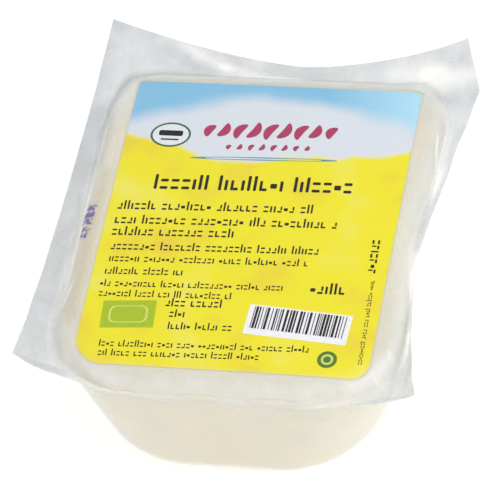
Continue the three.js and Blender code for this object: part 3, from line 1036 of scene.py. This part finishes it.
def add_node(tree, kind, inputs, output=0, **settings):
    """Adds a shader node and returns one of its outputs.

    Inputs are its sockets, each a value or another node's output; settings are its own properties.
    """
    made = tree.nodes.new("ShaderNode" + kind)
    for name, value in settings.items():
        setattr(made, name, value)
    for name, value in inputs.items():
        if isinstance(value, bpy.types.NodeSocket):
            tree.links.new(value, made.inputs[name])
        else:
            made.inputs[name].default_value = value
    return made.outputs[output] if made.outputs else None


def place_in_mm(tree):
    """The surface's place in millimetres from the middle of the label, so that scales are real sizes."""
    inputs = {0: add_node(tree, "TexCoord", {}, "Object"), 1: (1 / MM,) * 3, 2: (-PLACE_X, -PLACE_Y, 0.0)}
    return add_node(tree, "VectorMath", inputs, operation="MULTIPLY_ADD")


def uneven(tree, grain, detail, *ranges):
    """Soft noise with a grain of so many millimetres, and a value that it moves over each range."""
    inputs = {"Vector": place_in_mm(tree), "Scale": 1 / grain, "Detail": detail}
    values = [add_node(tree, "TexNoise", inputs, "Fac")]
    for low, high in ranges:
        inputs = {"Value": values[0], "From Min": 0.3, "From Max": 0.7, "To Min": low, "To Max": high}
        values.append(add_node(tree, "MapRange", inputs))
    return values


def opaque(colour):
    return (*colour, 1.0)


def pressed_curd(colours):
    """Fresh firm tofu, curd pressed in cloth and cut.

    Light goes some millimetres in, so its cream is soft and even, with faint clouds where the curd is
    denser and fine pores that take the shine off.
    """
    material, tree = new_material("pressed_soy_curd")
    _, tone = uneven(tree, 9.0, 3.0, (0.965, 1.0))
    pores, rough = uneven(tree, 0.7, 4.0, (0.42, 0.62))
    inputs = {SHARE: 1.0, COLOUR_A: opaque(colours.curd), COLOUR_B: tone}
    toned = add_node(tree, "Mix", inputs, MIXED, data_type="RGBA", blend_type="MULTIPLY")
    inputs = {
        "Base Color": toned,
        "Roughness": rough,
        "Normal": add_node(tree, "Bump", {"Height": pores, "Strength": 0.25, "Distance": 0.12 * MM}),
        "IOR": 1.36,
        "Specular IOR Level": 0.25,
        "Subsurface Weight": 1.0,
        "Subsurface Radius": (1.0, 0.75, 0.45),
        "Subsurface Scale": 1.4 * MM,
    }
    add_node(tree, "OutputMaterial", {"Surface": add_node(tree, "BsdfPrincipled", inputs)})
    return material


def clear_film(colours):
    """Polyamide and polyethylene vacuum film, cast and drawn warm.

    Clear where it clings, so that the label's print shows in full; milky where whey or air lies behind
    it; a cool grey where it stands free, partly the film's own tint and partly painted shade, and cream
    where a little whey is shut in. Its shine is broad, with thin lines of light at creases, from its
    shine on the ridges and from painted glints of white milk; the rim's whiter and greyer stretches are
    painted highlight and shade, and some haze is laid white over shaded hollows as painted light. The
    numbers of each point say which of these holds there: milky, grey, which is below 0 for whey, and
    shine, which is 0 on the film's wet back.
    """
    material, tree = new_material("drawn_vacuum_film")
    milky, grey, shine = (
        add_node(tree, "Attribute", {}, "Fac", attribute_name=name) for name in ("milky", "grey", "shine")
    )
    _, clouds = uneven(tree, 11.0, 4.0, (0.75, 1.2))
    cover = add_node(tree, "Math", {0: milky, 1: clouds}, operation="MULTIPLY", use_clamp=True)
    inputs = {SHARE: grey, COLOUR_A: opaque(colours.film_milk), COLOUR_B: opaque(colours.film_grey_and_painted_shade)}
    tint = add_node(tree, "Mix", inputs, MIXED, data_type="RGBA")
    whey = add_node(tree, "Math", {0: grey, 1: -1.0}, operation="MULTIPLY", use_clamp=True)
    inputs = {SHARE: whey, COLOUR_A: tint, COLOUR_B: opaque(colours.film_whey)}
    tint = add_node(tree, "Mix", inputs, MIXED, data_type="RGBA")
    (wrinkles,) = uneven(tree, 3.5, 3.0)
    bump = add_node(tree, "Bump", {"Height": wrinkles, "Strength": 0.18, "Distance": 0.3 * MM})
    front = add_node(tree, "BsdfDiffuse", {"Color": tint, "Normal": bump})
    back = add_node(tree, "BsdfTranslucent", {"Color": tint, "Normal": bump})
    scatter = add_node(tree, "MixShader", {0: 0.35, 1: front, 2: back})
    clear = add_node(tree, "BsdfTransparent", {"Color": (0.997, 0.997, 0.997, 1.0)})
    web = add_node(tree, "MixShader", {0: cover, 1: clear, 2: scatter})
    gloss = add_node(tree, "BsdfGlossy", {"Roughness": 0.12, "Normal": bump})
    # Schlick's rule for the mirror share, held below 1 because the film is never quite smooth.
    facing = add_node(tree, "LayerWeight", {"Blend": 0.5}, "Facing")
    grazing = add_node(tree, "Math", {0: facing, 1: 5.0}, operation="POWER")
    mirror = add_node(tree, "Math", {0: grazing, 1: 0.7, 2: 0.028}, operation="MULTIPLY_ADD")
    mirror = add_node(tree, "Math", {0: mirror, 1: shine}, operation="MULTIPLY")
    surface = add_node(tree, "MixShader", {0: mirror, 1: web, 2: gloss})
    add_node(tree, "OutputMaterial", {"Surface": surface})
    return material


def printed_coated_paper(colours):
    """Clay-coated label paper, printed by offset in soft colour fields and wetted flat under the film.

    A blue band along the far edge fades through a pale field into a clouded yellow, with the paper's
    fine fibres just to be felt in the shine.
    """
    material, tree = new_material("offset_printed_paper")
    place = place_in_mm(tree)
    # The fields' edges drift by some millimetres: noise round 0.5, times 9, less 4.5.
    drift = add_node(tree, "TexNoise", {"Vector": place, "Scale": 1 / 22.0, "Detail": 3.0}, "Color")
    shifted = add_node(tree, "VectorMath", {0: drift, 1: (9.0, 9.0, 0.0), 2: place}, operation="MULTIPLY_ADD")
    shifted = add_node(tree, "VectorMath", {0: shifted, 1: (4.5, 4.5, 0.0)}, operation="SUBTRACT")
    x = add_node(tree, "SeparateXYZ", {0: shifted})
    y = x.node.outputs["Y"]
    # The yellow field ends at one long swell, 3 mm high.
    swell = add_node(tree, "Math", {0: x, 1: 0.075, 2: 1.44}, operation="MULTIPLY_ADD")
    swell = add_node(tree, "Math", {0: swell}, operation="SINE")
    horizon = add_node(tree, "Math", {0: swell, 1: 3.0, 2: y}, operation="MULTIPLY_ADD")
    # The blue band's edge bends towards the far side at the label's middle.
    side = add_node(tree, "Math", {0: x, 1: x}, operation="MULTIPLY")
    band = add_node(tree, "Math", {0: side, 1: 0.007, 2: y}, operation="MULTIPLY_ADD")
    (clouds,) = uneven(tree, 14.0, 5.0)
    ramps = (
        (horizon, 24.0, 22.0, 1.0, "SMOOTHSTEP"),
        (band, 37.0, 43.5, 1.0, "SMOOTHSTEP"),
        (x, 13.5, 37.5, 1.0, "LINEAR"),
        (clouds, 0.52, 0.75, 0.8, "LINEAR"),
        (clouds, 0.46, 0.28, 0.7, "LINEAR"),
    )
    field, sky, right, warm, light = (
        add_node(
            tree,
            "MapRange",
            {"Value": value, "From Min": start, "From Max": end, "To Min": 0.0, "To Max": most},
            interpolation_type=kind,
        )
        for value, start, end, most, kind in ramps
    )
    names = ("sky", "sky_right", "haze", "field", "field_warm", "field_light")
    colour = {name: opaque(getattr(colours, name)) for name in names}
    mixes = (
        ("blue", right, "sky", "sky_right"),
        ("upper", sky, "haze", "blue"),
        ("warm", warm, "field", "field_warm"),
        ("yellow", light, "warm", "field_light"),
        ("print", field, "upper", "yellow"),
    )
    for name, share, under, over in mixes:
        inputs = {SHARE: share, COLOUR_A: colour[under], COLOUR_B: colour[over]}
        colour[name] = add_node(tree, "Mix", inputs, MIXED, data_type="RGBA")
    fibres, rough = uneven(tree, 0.5, 4.0, (0.45, 0.6))
    inputs = {
        "Base Color": colour["print"],
        "Roughness": rough,
        "Normal": add_node(tree, "Bump", {"Height": fibres, "Strength": 0.2, "Distance": 0.05 * MM}),
        "IOR": 1.45,
        "Specular IOR Level": 0.15,
    }
    add_node(tree, "OutputMaterial", {"Surface": add_node(tree, "BsdfPrincipled", inputs)})
    return material


def offset_ink(name, colour):
    """Offset printing ink on coated paper: an even thin film, a touch lighter where it covers less."""
    material, tree = new_material(name)
    _, tone, rough = uneven(tree, 0.8, 3.0, (0.9, 1.0), (0.4, 0.55))
    inputs = {SHARE: 1.0, COLOUR_A: opaque(colour), COLOUR_B: tone}
    toned = add_node(tree, "Mix", inputs, MIXED, data_type="RGBA", blend_type="MULTIPLY")
    inputs = {"Base Color": toned, "Roughness": rough, "IOR": 1.5, "Specular IOR Level": 0.15}
    add_node(tree, "OutputMaterial", {"Surface": add_node(tree, "BsdfPrincipled", inputs)})
    return material


def lit_white_table(colours):
    """Opal acrylic table top, lit a little from below."""
    material, tree = new_material("opal_acrylic_table")
    # The glow is only seen: sampled as a lamp, it would fleck the film.
    material.cycles.emission_sampling = "NONE"
    _, rough = uneven(tree, 30.0, 2.0, (0.75, 0.85))
    inputs = {
        "Base Color": opaque(colours.floor),
        "Roughness": rough,
        "Specular IOR Level": 0.2,
        "Emission Color": (1.0, 1.0, 1.0, 1.0),
        "Emission Strength": 0.54,
    }
    add_node(tree, "OutputMaterial", {"Surface": add_node(tree, "BsdfPrincipled", inputs)})
    return material


# ---- Operators ----


class TofuPackStep:
    """What the operators share: they can be undone, and read the add-on's settings from the scene."""

    bl_options = {"REGISTER", "UNDO"}

    def read(self, context):
        """Thicknesses in millimetres by name, and the colours."""
        sizes = context.scene.tofu_pack_sizes
        names = ("film", "paper", "ink", "wall_gap", "top_gap")
        return {name: getattr(sizes, name) / MM for name in names}, context.scene.tofu_pack_colours


class AddTofu(TofuPackStep, bpy.types.Operator):
    """Add the pressed block of tofu"""

    bl_idname = "tofu_pack.add_tofu"
    bl_label = "Tofu Block"

    def execute(self, context):
        size, colours = self.read(context)
        shape = curd_skin(size["wall_gap"], size["top_gap"])
        add_piece("tofu_block", shape, pressed_curd(colours), ["sealed_pack"])
        return {"FINISHED"}


class AddFilm(TofuPackStep, bpy.types.Operator):
    """Add the two webs of film: the drawn pocket and the lid, sealed to each other at the rim"""

    bl_idname = "tofu_pack.add_film"
    bl_label = "Film"

    def execute(self, context):
        size, colours = self.read(context)
        film = clear_film(colours)
        webs = (("film_pocket", pocket_skin(size["film"])), ("film_lid", lid_skin(size["film"])))
        for name, (shape, numbers) in webs:
            add_piece(name, shape, film, ["sealed_pack"], numbers)
        return {"FINISHED"}


class AddLabel(TofuPackStep, bpy.types.Operator):
    """Add the paper label under the film"""

    bl_idname = "tofu_pack.add_label"
    bl_label = "Paper Label"

    def execute(self, context):
        size, colours = self.read(context)
        outline = box_outline(LABEL_WIDTH, LABEL_LENGTH, LABEL_CORNERS, LABEL_STEP)
        outline = outline + (0.0, LABEL_MIDDLE_Y)
        shape = laid_sheet(outline, LABEL_DEPTH, LABEL_DEPTH + size["paper"], LABEL_RINGS)
        add_piece("paper_label", shape, printed_coated_paper(colours), ["label"])
        return {"FINISHED"}


class AddTextRows(TofuPackStep, bpy.types.Operator):
    """Add the rows of letter-sized blocks that stand for reading matter"""

    bl_idname = "tofu_pack.add_text_rows"
    bl_label = "Text Rows"

    def execute(self, context):
        size, colours = self.read(context)
        draw = np.random.default_rng(PRINT_SEED)
        dark = offset_ink("dark_offset_ink", colours.ink)
        groups = (
            ("text_rows", TEXT_ROWS, PRINT_TILT, 1),
            ("title_row", (TITLE_ROW,), PRINT_TILT, 1),
            ("side_rows", SIDE_ROWS, PRINT_TILT + math.pi / 2, -1),
        )
        for name, rows, tilt, side in groups:
            outlines = []
            for left, right, y, letter in rows:
                row = letter_row(left, right, side * y, letter, draw)
                outlines += [turned(outline, 0, 0, tilt) for outline in row]
            sheets = [laid_sheet(outline, LABEL_DEPTH - size["ink"], LABEL_DEPTH) for outline in outlines]
            add_piece(name, join(sheets), dark)
        return {"FINISHED"}


class AddStripePanel(TofuPackStep, bpy.types.Operator):
    """Add the white panel with its dark stripes, which encode nothing"""

    bl_idname = "tofu_pack.add_stripe_panel"
    bl_label = "Stripe Panel"

    def execute(self, context):
        size, colours = self.read(context)
        panel = STRIPE_PANEL
        place = (panel["x"], panel["y"], panel["tilt"])
        over = LABEL_DEPTH - size["ink"]
        ground = box_outline(panel["width"], panel["height"], [FIELD_CORNER] * 4, FIELD_STEP)
        sheet = laid_sheet(turned(ground, *place), over, LABEL_DEPTH, 8)
        add_mark("stripe_panel", sheet, "white_offset_ink", colours.panel)
        draw = np.random.default_rng(PRINT_SEED + 1)
        widths = draw.choice(STRIPE_WIDTHS, STRIPE_COUNT)
        gaps = draw.choice(STRIPE_WIDTHS, STRIPE_COUNT)
        scale = (panel["width"] - 2 * STRIPE_MARGIN) / (widths.sum() + gaps[:-1].sum())
        x = -panel["width"] / 2 + STRIPE_MARGIN
        sheets = []
        for width, gap in zip(widths * scale, gaps * scale):
            bar = box_outline(width, STRIPE_HEIGHT, [STRIPE_CORNER] * 4, FIELD_STEP)
            bar = turned(bar + (x + width / 2, STRIPE_RISE), *place)
            sheets.append(laid_sheet(bar, over - size["ink"], over))
            x += width + gap
        add_mark("stripes", join(sheets), "stripe_offset_ink", colours.ink)
        return {"FINISHED"}


class AddColourMarks(TofuPackStep, bpy.types.Operator):
    """Add the badge, the bean ornament with its rule, the green field and the green disc"""

    bl_idname = "tofu_pack.add_colour_marks"
    bl_label = "Colour Marks"

    def execute(self, context):
        size, colours = self.read(context)
        over = LABEL_DEPTH - size["ink"]
        above = over - size["ink"]
        self.add_badge(colours, over, above)
        self.add_ornament(colours, over)
        self.add_greens(colours, over, above)
        return {"FINISHED"}

    def add_badge(self, colours, over, above):
        at = (BADGE["x"], BADGE["y"])
        half_width, half_height, ring = BADGE["half_width"], BADGE["half_height"], BADGE["ring"]
        outer = oval_outline(half_width, half_height) + at
        inner = oval_outline(half_width - ring, half_height - ring) + at
        shape = laid_ring(outer, inner, over, LABEL_DEPTH)
        add_mark("badge_ring", shape, "badge_offset_ink", colours.badge)
        shape = laid_sheet(inner, over, LABEL_DEPTH, 4)
        add_mark("badge_ground", shape, "badge_ground_ink", colours.badge_field)
        sheets = []
        for width, height, corner, rise in BADGE_BARS:
            bar = box_outline(width, height, [corner] * 4, BADGE_BAR_STEP) + at + (0, rise)
            sheets.append(laid_sheet(bar, above, over))
        add_mark("badge_bars", join(sheets), "badge_bar_ink", colours.ink)

    def add_ornament(self, colours, over):
        sheets = []
        for row in (BEAN_ROW, SMALL_BEAN_ROW):
            for index in range(row["count"]):
                share = index / (row["count"] - 1)
                x = row["left"] + (row["right"] - row["left"]) * share
                y = row["y"] + math.tan(PRINT_TILT) * x
                swell = END_BEAN_SHARE + (1 - END_BEAN_SHARE) * math.sin(share * math.pi)
                bean = bean_outline(row["length"] * swell, row["width"])
                slant = BEAN_SLANT if index % 2 else BEAN_SLANT + math.pi
                sheets.append(laid_sheet(turned(bean, x, y, slant), over, LABEL_DEPTH))
        add_mark("bean_ornament", join(sheets), "ornament_offset_ink", colours.ornament)
        rule = BLUE_RULE
        share = np.linspace(0, 1, RULE_STEPS)
        x = rule["left"] + (rule["right"] - rule["left"]) * share
        half = rule["width"] / 2 * np.sin(np.clip(share, *RULE_ENDS) * math.pi) ** RULE_TAPER
        y = rule["y"] + math.tan(PRINT_TILT) * x
        outline = np.concatenate([np.stack([x, y - half], -1), np.stack([x, y + half], -1)[::-1]])
        add_mark("blue_rule", laid_sheet(outline, over, LABEL_DEPTH), "rule_offset_ink", colours.rule)

    def add_greens(self, colours, over, above):
        field, frame = GREEN_FIELD, GREEN_FRAME
        place = (field["x"], field["y"], field["tilt"])
        outline = turned(box_outline(field["width"], field["height"], [FIELD_CORNER] * 4, FIELD_STEP), *place)
        shape = laid_sheet(outline, over, LABEL_DEPTH, 6)
        add_mark("green_field", shape, "green_offset_ink", colours.green)
        disc = oval_outline(GREEN_DISC["radius"], GREEN_DISC["radius"])
        at = (GREEN_DISC["x"], GREEN_DISC["y"])
        shape = laid_sheet(disc + at, over, LABEL_DEPTH, 2)
        add_mark("green_disc", shape, "leaf_green_offset_ink", colours.leaf)
        outer = box_outline(frame["width"], frame["height"], [frame["corner"]] * 4, frame["step"])
        outer = turned(outer, *place)
        middle = outer.mean(0)
        inner = middle + (outer - middle) * frame["inner_share"]
        disc_outer, disc_inner = (disc * share + at for share in DISC_RING_SHARES)
        rings = [laid_ring(outer, inner, above, over), laid_ring(disc_outer, disc_inner, above, over)]
        add_mark("green_marks", join(rings), "light_green_offset_ink", colours.green_light)


class AddStamp(TofuPackStep, bpy.types.Operator):
    """Add the purple batch stamp on the film beside the label, a dotted code that says nothing"""

    bl_idname = "tofu_pack.add_stamp"
    bl_label = "Batch Stamp"

    def execute(self, context):
        _, colours = self.read(context)
        context.view_layer.update()
        film = bpy.data.objects["film_lid"]
        draw = np.random.default_rng(PRINT_SEED + 2)
        start, end = np.array(STAMP["start"]), np.array(STAMP["end"])
        tilt = math.atan2(end[1] - start[1], end[0] - start[0])
        marks, columns, rows = STAMP["marks"], STAMP["columns"], STAMP["rows"]
        sheets = []
        for mark, column, row in itertools.product(range(marks), range(columns), range(rows)):
            if draw.random() > STAMP_DOT_SHARE:
                continue
            middle = start + (end - start) * (mark + 0.5) / marks
            at = np.array([column - (columns - 1) / 2, row - (rows - 1) / 2]) * STAMP_DOT_PITCH
            dot = oval_outline(STAMP_DOT_RADIUS, STAMP_DOT_RADIUS, STAMP_DOT_CORNERS) + at
            loop = on_piece(film, turned(dot, *middle, tilt))
            sheets.append(skin(np.array([loop + (0.0, 0.0, lift) for lift in STAMP_LIFTS]), False))
        add_mark("batch_stamp", join(sheets), "solvent_stamp_ink", colours.stamp)
        return {"FINISHED"}


class AddStudio(TofuPackStep, bpy.types.Operator):
    """Add the pale table, the soft lights and the camera"""

    bl_idname = "tofu_pack.add_studio"
    bl_label = "Studio"

    def execute(self, context):
        self.add_table(context.scene)
        self.add_lights(context.scene)
        self.add_camera(context.scene)
        return {"FINISHED"}

    def add_table(self, scene):
        mesh = bpy.data.meshes.new("table")
        reach = TABLE_REACH
        corners = [(-reach, -reach, 0), (reach, -reach, 0), (reach, reach, 0), (-reach, reach, 0)]
        mesh.from_pydata(corners, [], [(0, 1, 2, 3)])
        mesh.materials.append(lit_white_table(scene.tofu_pack_colours))
        table = bpy.data.objects.new("table", mesh)
        scene.collection.objects.link(table)

    def add_lights(self, scene):
        scene.world = bpy.data.worlds.new("studio_white")
        scene.world.use_nodes = True
        background = scene.world.node_tree.nodes["Background"]
        background.inputs["Color"].default_value = WORLD_COLOUR
        background.inputs["Strength"].default_value = WORLD_STRENGTH
        for name, place, width, power in LAMPS:
            lamp = bpy.data.lights.new(name, "AREA")
            lamp.size = width
            lamp.energy = power
            holder = bpy.data.objects.new(name, lamp)
            turn = (Vector(LAMP_AIM) - Vector(place)).to_track_quat("-Z", "Y").to_matrix().to_4x4()
            holder.matrix_world = Matrix.Translation(place) @ turn
            scene.collection.objects.link(holder)
        scene.view_settings.view_transform = "Standard"
        scene.cycles.transparent_max_bounces = FILM_FACES_SEEN_THROUGH
        scene.cycles.diffuse_bounces = FILM_FACES_LIT_THROUGH
        scene.cycles.max_bounces = LIGHT_BOUNCES

    def add_camera(self, scene):
        around, up_angle, roll = CAMERA_AZIMUTH, CAMERA_ELEVATION, CAMERA_ROLL
        level_share = math.cos(up_angle)
        back = (math.sin(around) * level_share, -math.cos(around) * level_share, math.sin(up_angle))
        back = Vector(back)
        level = Vector((math.cos(around), math.sin(around), 0.0))
        upright = back.cross(level)
        right = level * math.cos(roll) + upright * math.sin(roll)
        up = upright * math.cos(roll) - level * math.sin(roll)
        target = Vector(CAMERA_TARGET) + Vector((PLACE_X, PLACE_Y, 0.0))
        turn = Matrix((right, up, back)).transposed().to_4x4()
        lens = bpy.data.cameras.new("camera")
        lens.sensor_fit = "HORIZONTAL"
        lens.sensor_width = SENSOR_WIDTH
        lens.lens = FOCAL_LENGTH
        lens.clip_start = CAMERA_CLIP_START
        camera = bpy.data.objects.new("camera", lens)
        camera.matrix_world = Matrix.Translation((target + back * CAMERA_DISTANCE) * MM) @ turn
        scene.collection.objects.link(camera)
        scene.camera = camera


class TofuPackPanel(bpy.types.Panel):
    """Lists the steps and the settings."""

    bl_idname = "VIEW3D_PT_tofu_pack"
    bl_label = "Sealed Tofu Block"
    bl_space_type = "VIEW_3D"
    bl_region_type = "UI"
    bl_category = "Tofu Pack"

    def draw(self, context):
        for step in STEPS:
            self.layout.operator(step.bl_idname)
        for group in (context.scene.tofu_pack_sizes, context.scene.tofu_pack_colours):
            for name in group.bl_rna.properties.keys():
                if name not in ("rna_type", "name"):
                    self.layout.prop(group, name)


STEPS = (AddStudio, AddTofu, AddFilm, AddLabel, AddTextRows, AddStripePanel, AddColourMarks, AddStamp)
CLASSES = (TofuPackSizes, TofuPackColours, *STEPS, TofuPackPanel)


def register():
    for each in CLASSES:
        bpy.utils.register_class(each)
    bpy.types.Scene.tofu_pack_sizes = PointerProperty(type=TofuPackSizes)
    bpy.types.Scene.tofu_pack_colours = PointerProperty(type=TofuPackColours)


def unregister():
    del bpy.types.Scene.tofu_pack_colours
    del bpy.types.Scene.tofu_pack_sizes
    for each in reversed(CLASSES):
        bpy.utils.unregister_class(each)


def main():
    """Registers the add-on and runs its steps in order."""
    register()
    bpy.ops.tofu_pack.add_studio()
    bpy.ops.tofu_pack.add_tofu()
    bpy.ops.tofu_pack.add_film()
    bpy.ops.tofu_pack.add_label()
    bpy.ops.tofu_pack.add_text_rows()
    bpy.ops.tofu_pack.add_stripe_panel()
    bpy.ops.tofu_pack.add_colour_marks()
    bpy.ops.tofu_pack.add_stamp()


if __name__ == "__main__":
    main()
